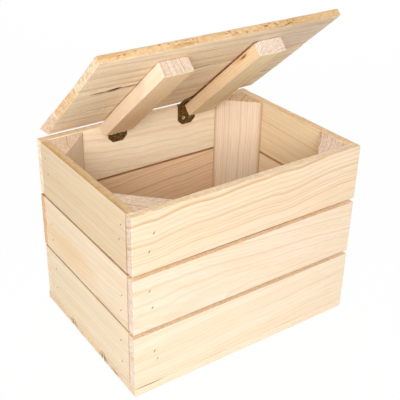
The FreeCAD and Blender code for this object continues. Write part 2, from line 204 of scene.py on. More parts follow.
# Chips, cracks, pits, stains and painted shade in mm: face, place along from the start and across from the middle,
# half its length and height, depth, tone. On an end, places are across and through the piece, and any
# depth makes the mark fuller. First those that come more than once: painted shade in the front wall's gaps,
# the joint of the left boards with the front ones, painted shade on the battens' tops where they stand off
# the lid, and notches at the floor's joints, dark with painted shade.
GAP_SHADE = (UPPER, 175, -6, 190, 6, 0.05, "#a08058")
LEFT_JOINT = (OUTER, 226, 0, 1.5, 70, 0.05, "#bfa084")
BATTEN_TOP_SHADE = (OUTER, 135, 0, 120, 60, 0.05, "#b8845a")
# The notches' dark tone is painted shade, seen in the gaps between the floor boards.
NOTCH_LOWER = (START, -41, 0, 3.2, 8, 0.3, "#4a3a20")
NOTCH_UPPER = (START, 41, 0, 3.2, 8, 0.3, "#4a3a20")
FLAWS = {
    # The front boards' top edges carry painted shade where the board above shades the gap.
    "front_board_middle": [GAP_SHADE],
    "front_board_lower": [GAP_SHADE],
    "left_board_upper": [(UPPER, 113, 4.5, 300, 5, 0, "#ebd8b0"), LEFT_JOINT],
    "left_board_middle": [(OUTER, 70, -14, 90, 26, 0, "#fef3e0"), LEFT_JOINT],
    "left_board_lower": [LEFT_JOINT],
    "lid_board_middle": [
        (INNER, 55, -28, 9, 4.6, 0.4, "#7a4e24"),
        (INNER, 61, -30, 7, 4.2, 0.4, "#6e4420"),
        (INNER, 38, -27, 14, 3.0, 0.2, "#b08a60"),
        (INNER, 78, -29, 14, 2.4, 0.2, "#b08a60"),
        (INNER, 175, 39.2, 190, 1.5, 0.3, "#a8865e"),
        (INNER, 175, -39.2, 190, 1.5, 0.3, "#a8865e"),
        # Painted shade in the wedge between the right batten and the lid.
        (INNER, 234, 0, 6, 80, 0.05, "#c89464"),
    ],
    "lid_board_rear": [
        (INNER, 175, -28.2, 190, 1.0, 0.3, "#c0a078"),
        # Painted shade in the wedge between the right batten and the lid.
        (INNER, 234, 0, 6, 60, 0.05, "#b07a4a"),
    ],
    # Both battens' tops are darkened as painted shade in the wedge under the lid.
    "lid_batten_left": [BATTEN_TOP_SHADE],
    "lid_batten_right": [
        BATTEN_TOP_SHADE,
        (LOWER, 166, 5, 22, 4, 0, "#f4d8ac"),
        (LOWER, 170, 4.5, 9, 1.8, 1.4, "#9a7650"),
    ],
    "base_board_front": [
        (START, -8, 3.5, 5, 3, 0.3, "#a07a50"),
        NOTCH_LOWER,
        # Painted shade in the seam under the front wall, where it opens near the left end.
        (UPPER, 22, -5.2, 24, 0.9, 0.3, "#a08058"),
    ],
    "base_board_middle": [(START, -18, 4.5, 5, 3, 0.3, "#d8b48c"), NOTCH_LOWER, NOTCH_UPPER],
    "base_board_rear": [NOTCH_UPPER],
}
# Ends that were sawn askew, in mm: how much shorter the start is at the lower and upper edge, then the
# far end.
TRIMS = {
    "lid_board_front": (0, 2.5, 0, 2),
    "lid_board_middle": (3, 1, 0, 0),
    "lid_board_rear": (0, 0, 0.5, 2.5),
    "back_board_upper": (0.5, 0, 1, 1),
    "back_board_lower": (0, 0.5, 1.2, 0.8),
}
# Starts that were sawn at a slant, in mm: how much shorter the inner face is at the lower and upper edge.
SLANTS = {"lid_board_middle": (1, 4), "lid_board_rear": (5, 8)}
# How far into the piece the points move along with a sawn end.
TRIM_REACH = 20 * MM
# Bark pits in the lid's front edge, in mm: first and last place along it and how many; then the spans of
# their half length, half height and rise over the middle, and their depth.
PIT_SPANS = ((100, 136, 10), (168, 190, 7), (200, 275, 20), (20, 330, 14))
PIT_HALF = ((1.2, 3.4), (0.35, 0.65))
PIT_RISE = (-4.0, 3.0)
PIT_DEPTH = 0.8
PIT_TONE = "#b8925e"
PIT_SEED = 5
# How rough each face of a plank is left, in the order of its sides: planed faces, sawn edges.
SAWN_FACES = {
    "pine_board": np.array([0.1, 0.8, 0.0, 0.8]),
    "pine_batten": np.array([0.2, 0.1, 0.2, 0.1]),
    "pine_lid": np.array([0.35, 0.6, 0.1, 1.0]),
}
# Rings show more on the ends and less on sawn edges.
END_BOLD = {"pine_board": 0.7, "pine_batten": 1.3, "pine_lid": 0.9}
EDGE_FADE = 0.75
# Pieces that were planed all round, and how much of the sawn look is left on them.
PLANED = {"base_board_front": 0.15, "base_board_middle": 0.15, "base_board_rear": 0.15}
# How much red, green and blue a post loses along the arrises that meet the walls, as painted shade in the
# crevices there, and how fast that falls off beside them.
POST_CREVICE_SHADE = np.array([0.3, 0.42, 0.55])
JOINT_FALL = 4


def linear(code):
    """An sRGB hex colour as linear red, green, blue and alpha."""
    parts = np.array([int(code[i:i + 2], 16) for i in (1, 3, 5)]) / 255
    parts = np.where(parts <= 0.04045, parts / 12.92, ((parts + 0.055) / 1.055) ** 2.4)
    return (*map(float, parts), 1.0)


def shade_of(code):
    """A hex colour's linear red, green and blue, for multiplying."""
    return np.array(linear(code)[:3])


def waves(along, seed, lengths):
    """A smooth seeded wobble between about -1 and 1: sines of the given wavelengths, each with a
    random phase and weight, added up."""
    draw = np.random.default_rng(seed)
    lengths = np.array(lengths)
    phase = draw.uniform(0, 2 * math.pi, len(lengths))
    weight = draw.uniform(0.5, 1, len(lengths))
    turns = 2 * math.pi * along[..., None] / lengths + phase
    return (weight * np.sin(turns)).sum(-1) / weight.sum()


def ramp(value, start, end):
    """A smooth step from 0 at the start to 1 at the end."""
    share = np.clip((value - start) / (end - start), 0, 1)
    return share * share * (3 - 2 * share)


def side_frames(corners):
    """Each side's length, direction and outward normal round a counter-clockwise outline."""
    edge = np.roll(corners, -1, 0) - corners
    reach = np.linalg.norm(edge, axis=1)
    edge = edge / reach[:, None]
    return reach, edge, np.stack([edge[:, 1], -edge[:, 0]], 1)


def rounded_outline(corners, radius, side_lines):
    """Points and outward normals round a convex outline, counter-clockwise.

    Each corner is an arc about a centre that stands in from both its sides by the radius. Each side
    is cut at its own lines, given as distances from the corner it starts at. The third array is 1 on
    the arcs and falls off along the sides: how near a point is to an arris.
    """
    reach, edge, out = side_frames(corners)
    before = np.roll(out, 1, 0)
    meet = (before * out).sum(1)
    centres = corners - radius * (before + out) / (1 + meet)[:, None]
    cut = ((centres - corners) * edge).sum(1)
    points, normals, arris = [], [], []
    for side in range(len(corners)):
        start = math.atan2(before[side, 1], before[side, 0])
        angle = start + math.acos(meet[side]) * np.linspace(0, 1, ARC_STEPS + 1)
        arc = np.stack([np.cos(angle), np.sin(angle)], 1)
        first = cut[side] + GUARD
        last = reach[side] - cut[(side + 1) % len(corners)] - GUARD
        lines = side_lines[side]
        lines = np.concatenate([[first], lines[(lines > first) & (lines < last)], [last]])
        points += [centres[side] + radius * arc, corners[side] + lines[:, None] * edge[side]]
        normals += [arc, np.repeat(out[side][None], len(lines), 0)]
        near = np.minimum(lines - first, last - lines)
        arris += [np.ones(len(arc)), np.exp(-near / ARRIS_FADE)]
    return np.concatenate(points), np.concatenate(normals), np.concatenate(arris)


def carried(outline, normals, radius, length, lines):
    """An outline carried straight along x from 0 to the length.

    The last rings at each end bend in by a quarter circle of the radius, and smaller copies of the
    end ring, about its middle, close the end. Gives the grid of points and how much of an end face
    each ring is.
    """
    turn = np.linspace(0, math.pi / 2, ARC_STEPS + 1)
    bend = radius * (1 - np.cos(turn))
    inset = radius * (1 - np.sin(turn))
    first = radius + GUARD
    between = lines[(lines > first) & (lines < length - first)]
    lines = np.concatenate([[first], between, [length - first]])
    x = np.concatenate([bend, lines, length - bend[::-1]])
    inward = np.concatenate([inset, np.zeros(len(lines)), inset[::-1]])
    rings = outline - inward[:, None, None] * normals
    heart = rings[0].mean(0)
    caps = heart + np.array(CAP_SHARES)[:, None, None] * (rings[0] - heart)
    rings = np.concatenate([caps, rings, caps[::-1]])
    x = np.concatenate([np.zeros(len(caps)), x, np.full(len(caps), length)])
    end = np.concatenate([np.ones(len(caps)), inward / radius, np.ones(len(caps))])
    grid = np.concatenate([np.broadcast_to(x[:, None, None], rings.shape[:2] + (1,)), rings], 2)
    return grid, end


def tube_faces(rings, around):
    """Corner numbers of a closed tube's four-sided faces and of the fans that close its two ends on
    the two points after the grid, each list with its face size."""
    i, j = np.meshgrid(np.arange(rings - 1), np.arange(around), indexing="ij")
    here = i * around + j
    beside = i * around + (j + 1) % around
    quads = np.stack([here, beside, beside + around, here + around], -1)
    j = np.arange(around)
    right = (j + 1) % around
    last = (rings - 1) * around
    near = np.stack([np.full(around, rings * around), right, j], -1)
    far = np.stack([np.full(around, rings * around + 1), last + j, last + right], -1)
    return [quads.reshape(-1, 4), near, far]


def put_mesh(name, points, face_lists, attributes, material):
    """A mesh object from whole arrays of points, faces and point attributes."""
    mesh = bpy.data.meshes.new(name)
    mesh.vertices.add(len(points))
    mesh.vertices.foreach_set("co", points.astype(np.float32).ravel())
    sizes = np.concatenate([np.full(len(faces), faces.shape[1]) for faces in face_lists])
    loops = np.concatenate([faces.ravel() for faces in face_lists])
    mesh.loops.add(len(loops))
    mesh.loops.foreach_set("vertex_index", loops.astype(np.int32))
    mesh.polygons.add(len(sizes))
    mesh.polygons.foreach_set("loop_start", (np.cumsum(sizes) - sizes).astype(np.int32))
    mesh.polygons.foreach_set("use_smooth", np.ones(len(sizes), bool))
    for title, values in attributes.items():
        kind, field = ("FLOAT", "value") if values.ndim == 1 else ("FLOAT_VECTOR", "vector")
        layer = mesh.attributes.new(title, kind, "POINT")
        layer.data.foreach_set(field, values.astype(np.float32).ravel())
    mesh.update(calc_edges=True)
    mesh.validate()
    mesh.materials.append(material)
    piece = bpy.data.objects.new(name, mesh)
    bpy.context.scene.collection.objects.link(piece)
    return piece


def even_lines(length, step):
    """Grid lines from 0 to the length, as near the step apart as comes out even."""
    return np.linspace(0, length, max(2, round(length / step)) + 1)


def merged(lines):
    """Grid lines in order, each moved to the nearest whole step of the gap, with none twice."""
    return np.unique((lines / LINE_GAP).round()) * LINE_GAP


def grid_lines(corners, length, nails, flaws, step):
    """Where a piece's grid has lines, along it and on each of its sides: at even steps, and closer round
    each dent and flaw."""
    reach, edge, _ = side_frames(corners)
    lines = [even_lines(length, step), (nails[:, 0, None] + DENT_LINES).ravel()]
    side_lines = [even_lines(distance, step) for distance in reach]
    if len(nails):
        rows = (corners[OUTER, 0] - nails[:, 1, None] + DENT_LINES).ravel()
        side_lines[OUTER] = np.append(side_lines[OUTER], rows)
    for face, along, across, half_along, half_across, depth, _ in flaws:
        if face >= 0 and depth:
            lines.append((along + half_along * FLAW_LINES) * MM)
            middle = -(corners[face] @ edge[face])
            turned = np.sign(edge[face].sum())
            rows = middle + turned * (across + half_across * FLAW_LINES) * MM
            side_lines[face] = np.append(side_lines[face], rows)
    return merged(np.concatenate(lines)), [merged(rows) for rows in side_lines]


def with_tips(grid):
    """A grid's values as one list, then the means of its first and last ring, for the two points that
    close the ends."""
    return np.concatenate([grid.reshape(-1, *grid.shape[2:]), grid[[0, -1]].mean(1)])


def place_in_tree(node, seed, grid, length):
    """Each point's place measured from the pith, which drifts evenly along the piece, with the years
    stretched to the width that is drawn. Pieces stand apart along the tree, so that no two are alike."""
    pith_across, pith_depth, drift_across, drift_depth, years = CUTS[node][:5]
    spot = with_tips(grid)
    drift = (spot[:, 0] - length / 2)[:, None] * np.array([drift_across, drift_depth])
    pith = (np.array([pith_across, pith_depth]) + drift) * MM
    along = spot[:, 0] + TREE_STEP * seed
    return np.column_stack([along, (spot[:, 1:] - pith) * RING_WIDTH / years])


def nail_marks(x, y, nails):
    """How deep each point lies in a dent, of 1: one less the squared distance in an ellipse turned by the
    slant, times how deep that brad went."""
    du = x[..., None] - nails[:, 0]
    dv = y[..., None] - nails[:, 1]
    across = du * math.cos(DENT_SLANT) - dv * math.sin(DENT_SLANT)
    along = du * math.sin(DENT_SLANT) + dv * math.cos(DENT_SLANT)
    inside = np.clip(1 - (across / DENT_HALF[0]) ** 2 - (along / DENT_HALF[1]) ** 2, 0, 1)
    return (inside * nails[:, 2]).max(-1)


def end_shift(node, grid, length, span):
    """How far each point moves along the piece where an end was sawn askew or at a slant: the trim runs
    evenly over the span between the edges, the slant from the outer to the inner face, and both fade
    over the reach."""
    x, y, z = np.moveaxis(grid, 2, 0)
    trims = np.array(TRIMS.get(node, (0, 0, 0, 0))) * MM
    slant = np.interp(y, span, SLANTS.get(node, (0, 0))) * MM * (z.max() - z) / np.ptp(z)
    start = (np.interp(y, span, trims[:2]) + slant) * (1 - ramp(x, 0, TRIM_REACH))
    return start - np.interp(y, span, trims[2:]) * ramp(x, length - TRIM_REACH, length)


def sawn_piece(node, corners, length, axes, origin, body, slot, nails=(), step=FACE_STEP, wear=None):
    """A sawn piece that stands for a node.

    Its outline, in (across, through), is carried along the piece. Arrises wander inwards by a seeded
    wobble, each nail leaves a dent, and each flaw a bowl: its depth times one less the squared distance
    in its ellipse. The grain attribute is the place in the tree; tone, sawn and bold say how the wood
    looks there. The tone also holds painted shade in gaps, seams and crevices.
    """
    seed = sorted(CUTS).index(node)
    bold_low, bold_high, tone = CUTS[node][5:]
    radius = OWN_ARRIS.get(node, ARRIS)
    nails = np.array(nails).reshape(-1, 3)
    flaws = FLAWS.get(node, [])
    lines, side_lines = grid_lines(corners, length, nails, flaws, step)
    outline, normals, arris = rounded_outline(corners, radius, side_lines)
    grid, end = carried(outline, normals, radius, length, lines)
    end = end[:, None]
    x, y, z = np.moveaxis(grid, 2, 0)
    span = [corners[:, 0].min(), corners[:, 0].max()]

    # How much each point belongs to each face and end.
    faces = np.clip(1 - FACE_FALL * (1 - normals @ side_frames(corners)[2].T), 0, 1)
    shares = {face: faces[:, face] * (1 - end) for face in range(len(corners))}
    shares[START] = end * (x < length / 2)
    shares[FAR] = end * (x > length / 2)

    around = np.arange(len(outline)) / len(outline)
    wander = waves(x + WEAR_ROUND * around, seed, WEAR_LENGTHS) - WEAR_LEAST
    push = ARRIS_WEAR * radius / ARRIS * wander * arris * (1 - end)
    tint = np.ones(x.shape + (3,)) * shade_of(tone)
    # A post gets painted shade along the crevices where it meets the walls.
    if len(corners) == 3:
        tint *= 1 - POST_CREVICE_SHADE * (arris ** JOINT_FALL * (1 - end))[..., None]
    for face, code in FACE_TONES.get(node, {}).items():
        tint *= 1 - shares[face][..., None] * (1 - shade_of(code))
    for face, along, across, half_along, half_across, depth, code in flaws:
        level = z if face in (UPPER, LOWER) else y
        u, v = (y, z) if face < 0 else (x, level)
        far = ((u - along * MM) / (half_along * MM)) ** 2
        far = far + ((v - across * MM) / (half_across * MM)) ** 2
        bowl = np.clip(1 - far, 0, 1) * shares[face]
        tint *= 1 - (np.sqrt(bowl) if depth else bowl)[..., None] * (1 - shade_of(code))
        if face >= 0:
            push = push - depth * MM * bowl
    if len(nails):
        mark = nail_marks(x, y, nails) * (faces[:, OUTER] > FLAT)
        push = push - DENT_DEPTH * mark
        tint *= 1 - DENT_SHADE * np.sqrt(mark)[..., None]
    shifted = (x + end_shift(node, grid, length, span))[..., None]
    shaped = np.concatenate([shifted, grid[..., 1:] + push[..., None] * normals], 2)
    if wear:
        shaped = wear(shaped)

    planed = PLANED.get(node, 1)
    rough = SAWN_FACES[slot] @ faces.T if len(corners) == 4 else np.zeros(len(outline))
    bold = np.interp(y, span, [bold_low, bold_high])
    bold = bold * (1 - EDGE_FADE * planed * rough) * (1 + END_BOLD[slot] * planed * end)
    attributes = {
        "grain": place_in_tree(node, seed, grid, length),
        "tone": with_tips(tint),
        "sawn": planed * with_tips(np.maximum(end, rough)),
        "bold": with_tips(bold),
    }
    points = with_tips(shaped) @ axes.T + origin
    piece = put_mesh(node + "_sawn", points, tube_faces(*x.shape), attributes, finishes[slot])
    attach(piece, body)
    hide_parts(node)


def rectangle(width, height):
    """Corners of a rectangle about its middle, counter-clockwise from the lower left."""
    return np.array([[-1, -1], [1, -1], [1, 1], [-1, 1]]) * np.array([width, height]) / 2


def plank(node, low, high, along, out, body, slot, nails=(), base=np.eye(3), start=np.zeros(3), **work):
    """A plank that fills a node's box, which is measured in the base axes from the start point."""
    along, out = np.array(along), np.array(out)
    axes = np.stack([along, np.cross(out, along), out], 1)
    size = np.abs(axes.T @ (high - low))
    origin = base @ ((low + high) / 2 - along * size[0] / 2) + start
    section = rectangle(*size[1:])
    sawn_piece(node, section, size[0], base @ axes, origin, body, slot, nails, **work)


def box_of(node):
    """A node's lowest and highest corner."""
    low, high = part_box(node)
    return np.array(low), np.array(high)


def lid_box_of(node):
    """A lid node's box in the lid's own frame."""
    vertices = frame["nodes"][node].data.vertices
    points = np.empty(3 * len(vertices))
    vertices.foreach_get("co", points)
    points = (points.reshape(-1, 3) - HINGE) @ LID_AXES
    return points.min(0), points.max(0)


def add(tree, kind, inputs=(), **settings):
    """One shader node with its settings. Its inputs come in order or by name, and each is a value or the
    socket that feeds it."""
    node = tree.nodes.new("ShaderNode" + kind)
    for name, value in settings.items():
        setattr(node, name, value)
    for key, value in inputs.items() if isinstance(inputs, dict) else enumerate(inputs):
        if isinstance(value, bpy.types.NodeSocket):
            tree.links.new(value, node.inputs[key])
        else:
            node.inputs[key].default_value = value
    return node.outputs


def new_finish(name):
    """An empty node material and its output node."""
    material = bpy.data.materials.new(name)
    material.use_nodes = True
    tree = material.node_tree
    tree.nodes.clear()
    return material, tree, tree.nodes.new("ShaderNodeOutputMaterial")


# The pine's patterns, in repeats per metre: along the grain, then the two ways across it. The rings sway
# slowly, over 100 mm along and 80 mm across. Fibres are 25 mm long and drawn 1.2 mm wide so that they
# show. The torn tufts of a sawn face are 4 mm each way.
SWAY_REPEATS = (10, 12, 12)
FIBRE_REPEATS = (40, 850, 850)
TUFT_REPEATS = (260, 260, 260)
# Over the radius, also per metre: years change in width over 8 mm, and in strength in spells of 25 mm.
# Each year's own strength is picked with so many repeats per year.
WIDTH_REPEATS = 120.0
SPELL_REPEATS = 40.0
YEAR_REPEATS = 0.73
# The middle of a noise, how far the rings sway in metres, and how many years the widths shift them by.
NOISE_MIDDLE = 0.5
SWAY_REACH = (0, 0.01, 0.01)
WIDTH_REACH = 2.0
# Late wood: when in the year it sets in and is full, when it breaks off, and how much it covers.
LATE_RISE = (0.35, 0.88)
LATE_FALL = (0.9, 1.0)
LATE_SHARE = 0.6
# The span of each noise that is used, and what it is turned to: the strength of years and of spells,
# and the shade of the fibres.
YEAR_STRENGTH = (0.3, 0.7, 0.4, 1.2)
SPELL_STRENGTH = (0.35, 0.65, 0.6, 1.3)
FIBRE_SHADE = (0.25, 0.75, 0.93, 1.05)
# How much the tufts mottle a sawn face, how far lines and tufts stand out beside the fibres, and the
# height and strength of that relief.
TUFT_SHADE = 0.7
LINE_RELIEF = 0.6
TUFT_RELIEF = 3.0
WOOD_RELIEF = 0.15 * MM
WOOD_BUMP = 0.5
# Roughness over the span of the fibres, and over the span of tones: where the tone is dark, from dirt and from
# painted shade in cracks, joints and gaps, the wood turns matt.
FIBRE_ROUGH = (0, 1, 0.55, 0.75)
DARK_TONE_ROUGH = (0.4, 0.8, 1.0, 0.5)
WOOD_SPECULAR = 0.2
# The metals' patches: the span of noise that is used and what it is turned to, how much rougher the dull
# ones are, and the height and strength of their relief.
PATCH_SPAN = (0.35, 0.65, 0, 1)
DULL_ROUGHER = 0.2
METAL_RELIEF = 0.05 * MM
METAL_BUMP = 0.4


def pine(name, early, late, streak, streak_share, streak_span=(0.4, 0.7), streak_mm=(200, 11)):
    """Untreated pine, planed or sawn: pale early wood that darkens to an orange line at each year's
    end. The rings are the distance from the pith, so faces show arches, edges lines and ends arcs.
    Sawn edges and ends are mottled and rough. Streaks have a length and width, and set in over a span
    of their noise."""
    material, tree, output = new_finish(name)
    grain = add(tree, "Attribute", attribute_name="grain")["Vector"]
    tint = add(tree, "Attribute", attribute_name="tone")
    sawn = add(tree, "Attribute", attribute_name="sawn")["Fac"]
    bold = add(tree, "Attribute", attribute_name="bold")["Fac"]
    place = add(tree, "TexCoord")["Object"]

    # The noises in the wood: what each is laid over, its repeats and its detail.
    along, across = (1 / (size * MM) for size in streak_mm)
    layers = {
        "sway": (grain, SWAY_REPEATS, 2.0),
        "fibre": (grain, FIBRE_REPEATS, 3.0),
        "streak": (grain, (along, across, across), 3.0),
        "tuft": (place, TUFT_REPEATS, 3.0),
    }
    noises = {}
    for layer, (vector, repeats, detail) in layers.items():
        spread = add(tree, "VectorMath", [vector, repeats], operation="MULTIPLY")["Vector"]
        noises[layer] = add(tree, "TexNoise", {"Vector": spread, "Scale": 1.0, "Detail": detail})
    fibre = noises["fibre"]["Fac"]
    tuft = noises["tuft"]["Fac"]

    # The radius: distance from the pith's line, swaying.
    sway = noises["sway"]["Color"]
    sway = add(tree, "VectorMath", [sway, [NOISE_MIDDLE] * 3], operation="SUBTRACT")["Vector"]
    sway = add(tree, "VectorMath", [sway, SWAY_REACH], operation="MULTIPLY")["Vector"]
    bent = add(tree, "VectorMath", [grain, sway], operation="ADD")["Vector"]
    bent = add(tree, "VectorMath", [bent, (0, 1, 1)], operation="MULTIPLY")["Vector"]
    radius = add(tree, "VectorMath", [bent], operation="LENGTH")["Value"]

    # The years: the radius over the ring width, uneven, and the late wood's line in each.
    uneven = add(tree, "TexNoise", {"W": radius, "Scale": WIDTH_REPEATS}, noise_dimensions="1D")["Fac"]
    uneven = add(tree, "Math", [uneven, WIDTH_REACH], operation="MULTIPLY")["Value"]
    years = add(tree, "Math", [radius, 1 / (RING_WIDTH * MM)], operation="MULTIPLY")["Value"]
    years = add(tree, "Math", [years, uneven], operation="ADD")["Value"]
    season = add(tree, "Math", [years], operation="FRACT")["Value"]
    year = add(tree, "Math", [years], operation="FLOOR")["Value"]
    rise = add(tree, "MapRange", [season, *LATE_RISE, 0, 1], interpolation_type="SMOOTHSTEP")["Result"]
    fall = add(tree, "MapRange", [season, *LATE_FALL, 1, 0], interpolation_type="SMOOTHSTEP")["Result"]
    strength = add(tree, "TexNoise", {"W": year, "Scale": YEAR_REPEATS}, noise_dimensions="1D")["Fac"]
    strength = add(tree, "MapRange", [strength, *YEAR_STRENGTH])["Result"]
    spell = add(tree, "TexNoise", {"W": radius, "Scale": SPELL_REPEATS}, noise_dimensions="1D")["Fac"]
    spell = add(tree, "MapRange", [spell, *SPELL_STRENGTH])["Result"]
    line = add(tree, "Math", [bold, LATE_SHARE], operation="MULTIPLY")["Value"]
    for part in (strength, spell, rise, fall):
        line = add(tree, "Math", [line, part], operation="MULTIPLY")["Value"]

    # The colour: early wood, streaks and late wood, shaded by fibres and tufts, in the piece's tone.
    patch = add(tree, "MapRange", [noises["streak"]["Fac"], *streak_span, 0, streak_share])["Result"]
    wood = add(tree, "Mix", {0: patch, 6: linear(early), 7: linear(streak)}, data_type="RGBA")[2]
    wood = add(tree, "Mix", {0: line, 6: wood, 7: linear(late)}, data_type="RGBA")[2]
    shade = add(tree, "MapRange", [fibre, *FIBRE_SHADE])["Result"]
    ragged = add(tree, "Math", [tuft, NOISE_MIDDLE], operation="SUBTRACT")["Value"]
    mottle = add(tree, "Math", [sawn, TUFT_SHADE], operation="MULTIPLY")["Value"]
    mottle = add(tree, "Math", [ragged, mottle, shade], operation="MULTIPLY_ADD")["Value"]
    wood = add(tree, "VectorMath", {0: wood, "Scale": mottle}, operation="SCALE")["Vector"]
    wood = add(tree, "VectorMath", [wood, tint["Vector"]], operation="MULTIPLY")["Vector"]

    # The relief and the gloss.
    height = add(tree, "Math", [line, LINE_RELIEF, fibre], operation="MULTIPLY_ADD")["Value"]
    ragged = add(tree, "Math", [tuft, sawn], operation="MULTIPLY")["Value"]
    height = add(tree, "Math", [ragged, TUFT_RELIEF, height], operation="MULTIPLY_ADD")["Value"]
    bump = add(tree, "Bump", {"Height": height, "Distance": WOOD_RELIEF, "Strength": WOOD_BUMP})["Normal"]
    rough = add(tree, "MapRange", [fibre, *FIBRE_ROUGH])["Result"]
    matt_where_dark = add(tree, "MapRange", [tint["Fac"], *DARK_TONE_ROUGH])["Result"]
    rough = add(tree, "Math", [rough, matt_where_dark], operation="MAXIMUM")["Value"]
    shader = add(tree, "BsdfPrincipled", {
        "Base Color": wood,
        "Roughness": rough,
        "Normal": bump,
        "Specular IOR Level": WOOD_SPECULAR,
    })["BSDF"]
    tree.links.new(shader, output.inputs["Surface"])
    return material


def metal(name, bright, dull, patch_mm, rough, metallic, toned=False):
    """Worn metal: a bright and a dull tone in soft patches, the dull one rougher. A toned one is darkened
    by its piece's own tone: painted shade in its screws' recesses, and some screws drawn dimmer than others."""
    material, tree, output = new_finish(name)
    place = add(tree, "TexCoord")["Object"]
    patch = add(tree, "TexNoise", {"Vector": place, "Scale": 1 / (patch_mm * MM), "Detail": 4.0})["Fac"]
    patch = add(tree, "MapRange", [patch, *PATCH_SPAN])["Result"]
    colour = add(tree, "Mix", {0: patch, 6: linear(bright), 7: linear(dull)}, data_type="RGBA")[2]
    if toned:
        tone = add(tree, "Attribute", attribute_name="tone")["Fac"]
        colour = add(tree, "VectorMath", {0: colour, "Scale": tone}, operation="SCALE")["Vector"]
    gloss = add(tree, "MapRange", [patch, 0, 1, rough, rough + DULL_ROUGHER])["Result"]
    bump = add(tree, "Bump", {"Height": patch, "Distance": METAL_RELIEF, "Strength": METAL_BUMP})["Normal"]
    shader = add(tree, "BsdfPrincipled", {
        "Base Color": colour,
        "Roughness": gloss,
        "Normal": bump,
        "Metallic": metallic,
    })["BSDF"]
    tree.links.new(shader, output.inputs["Surface"])
    return material


finishes = {
    # Planed boards: cream early wood, honey late wood.
    "pine_board": pine("planed_pine", "#fae8cd", "#dcb68a", "#f4dab4", streak_share=0.6),
    # Battens and posts: a pinker stem.
    "pine_batten": pine("planed_pine_pink", "#f9e7d0", "#dfb48a", "#f2d8bc", streak_share=0.5),
    # Lid boards: sawn and weathered a little, so greyer and more streaked.
    "pine_lid": pine("sawn_pine_grey", "#fbe9cc", "#d6a86e", "#cba676", streak_share=0.45,
                     streak_span=(0.47, 0.66), streak_mm=(260, 7)),
    # Bronzed brass, dark in the hollows and worn to brown on the flats.
    "hinge_brass": metal("bronzed_brass", "#94763f", "#5c4722", patch_mm=3.0, rough=0.38, metallic=0.85),
    # Bright zinc, a little dulled.
    "screw_steel": metal("zinc_plated_steel", "#e8e0cc", "#b8ad94", patch_mm=1.5, rough=0.4, metallic=0.6,
                         toned=True),
    # Drawn steel wire, dark where it was driven under.
    "nail_steel": metal("drawn_steel", "#a89880", "#80725f", patch_mm=1.0, rough=0.45, metallic=0.7),
}

# The walls: boards with their outer face out, nailed near both ends.
OUT = {"front": (0, -1, 0), "right": (1, 0, 0), "back": (0, 1, 0), "left": (-1, 0, 0)}
for wall, out in OUT.items():
    nail_table = LONG_WALL_NAILS if wall in ("front", "back") else SHORT_WALL_NAILS
    dents = FRONT_DENTS if wall == "front" else OTHER_DENTS
    for level in LEVELS:
        node = f"{wall}_board_{level}"
        low, high = box_of(node)
        along = np.cross((0, 0, 1), out)
        length = np.abs(along) @ (high - low)
        height = high[2] - low[2]
        spots = [(abs(edge - inset * MM), (share - 0.5) * height, dent)
                 for share, inset in nail_table[level] for edge, dent in zip((0, length), dents)]
        plank(node, low, high, along, out, "box", "pine_board", spots)

# The floor: boards nailed from below into the side walls.
for name in ("front", "middle", "rear"):
    node = f"base_board_{name}"
    low, high = box_of(node)
    size = high - low
    spots = [(abs(edge - BASE_NAIL_END * MM), (0.5 - share) * size[1], dent)
             for share in BASE_NAIL_SHARES for edge, dent in zip((0, size[0]), OTHER_DENTS)]
    plank(node, low, high, (1, 0, 0), (0, 0, -1), "box", "pine_board", spots)

# The posts: triangles with the right angle in the box's corner.
for name in ("front_left", "front_right", "back_right", "back_left"):
    node = f"corner_post_{name}"
    low, high = box_of(node)
    front, left = name.startswith("front"), name.endswith("left")
    x0, x1 = (low[0], high[0]) if left else (high[0], low[0])
    y0, y1 = (low[1], high[1]) if front else (high[1], low[1])
    triangle = np.array([[x0, y0], [x1, y0], [x0, y1]])
    if front != left:
        triangle = triangle[::-1]
    axes = np.array([[0, 1, 0], [0, 0, 1], [1, 0, 0]])
    sawn_piece(node, triangle, high[2] - low[2], axes, np.array([0, 0, low[2]]), "box", "pine_batten")

# The lid: boards nailed from above into the battens, the front one pitted along its front edge.
draw = np.random.default_rng(PIT_SEED)
FLAWS["lid_board_front"] = [
    (INNER, 175, 41.4, 190, 1.5, 0.3, "#a8865e"),
    # Painted shade in the wedge between the right batten and the lid.
    (INNER, 234, 19, 5.5, 26, 0.05, "#d0a074"),
    (INNER, 300, -10, 120, 60, 0, "#f0f5ff"),
] + [
    (LOWER, draw.uniform(first, last), draw.uniform(*PIT_RISE), draw.uniform(*PIT_HALF[0]),
     draw.uniform(*PIT_HALF[1]), PIT_DEPTH, PIT_TONE)
    for first, last, count in PIT_SPANS for _ in range(count)
]
battens = {side: lid_box_of(f"lid_batten_{side}") for side in SIDES}
leaf_end = -lid_box_of("hinge_lid_leaf_left")[0][1]
for name in ("rear", "middle", "front"):
    node = f"lid_board_{name}"
    low, high = lid_box_of(node)
    spots = []
    for batten_low, batten_high in battens.values():
        near, far = max(-high[1], leaf_end), min(-low[1], -batten_low[1])
        middle = (batten_low[0] + batten_high[0]) / 2
        for along_share, across_share in LID_NAIL_SHARES:
            along_board = middle + across_share * (batten_high[0] - batten_low[0]) - low[0]
            across_board = -(near + along_share * (far - near)) - (low[1] + high[1]) / 2
            spots.append((along_board, across_board, OTHER_DENTS[0]))
    plank(node, low, high, (1, 0, 0), (0, 0, 1), "lid", "pine_lid", spots, LID_AXES, HINGE)

# The battens lie over the hinge leaves, so they stand off the lid there, and the gap fades beyond.
STAND_OFF = 1.45 * MM
STAND_FADE = 25 * MM
